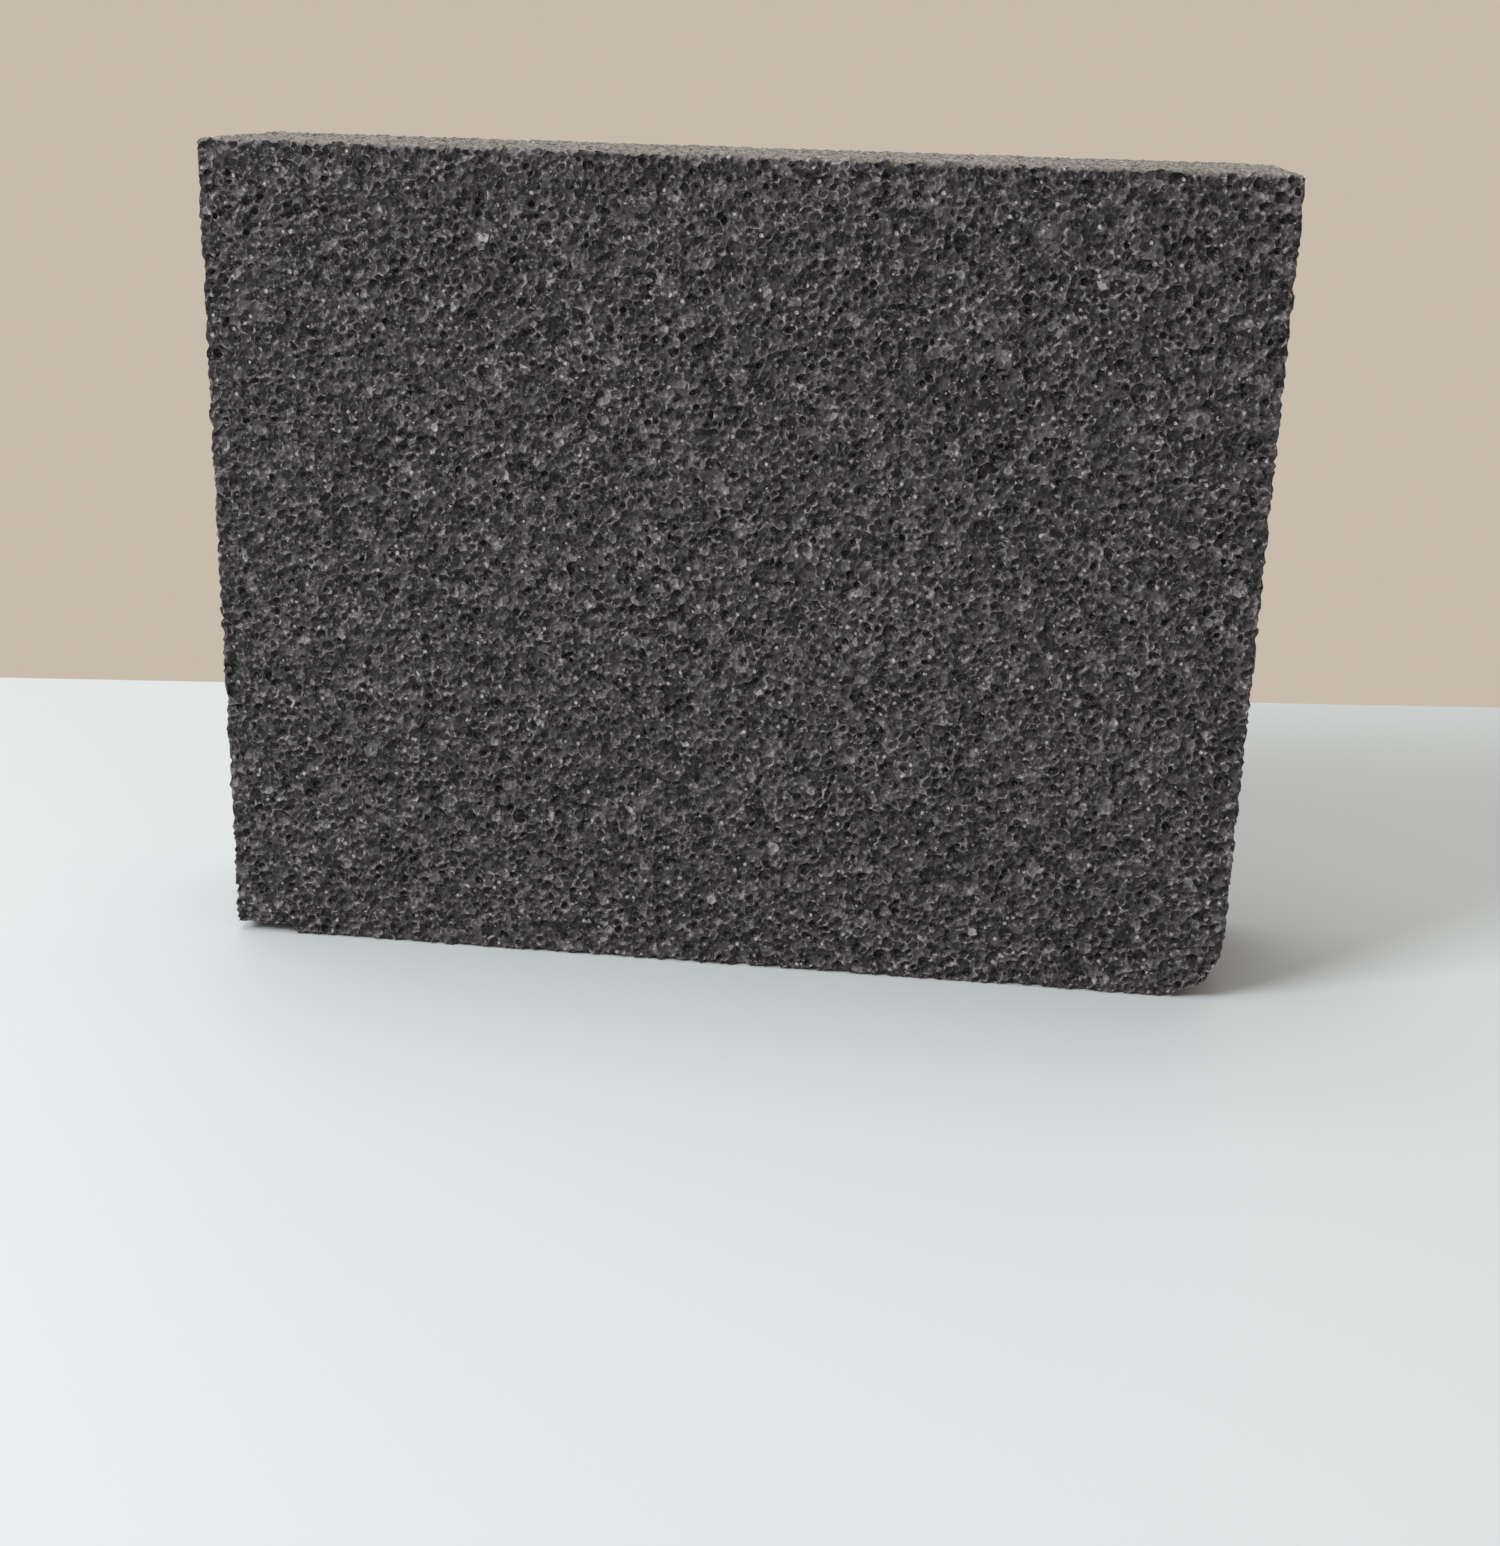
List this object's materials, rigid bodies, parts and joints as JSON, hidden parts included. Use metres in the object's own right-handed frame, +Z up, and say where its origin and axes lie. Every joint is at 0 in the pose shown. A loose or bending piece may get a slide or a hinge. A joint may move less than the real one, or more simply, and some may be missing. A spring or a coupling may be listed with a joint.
{
  "type": "foam glass insulation board",
  "caption": "Rigid rectangular block of dark grey cellular glass insulation, sawn on all faces, with one broken lower corner, standing on its long edge.",
  "frame": {"origin": "middle of the base, the long narrow face it stands on", "axes": "+X along the base, +Y through the thickness with the front broad face towards -Y, +Z up"},
  "size_m": [0.14, 0.03, 0.11],
  "materials": {
    "foam_glass": "sawn open-cell face, matt dark grey with small glassy glints"
  },
  "bodies": {
    "root": {"board": "foam_glass"}
  },
  "joints": []
}
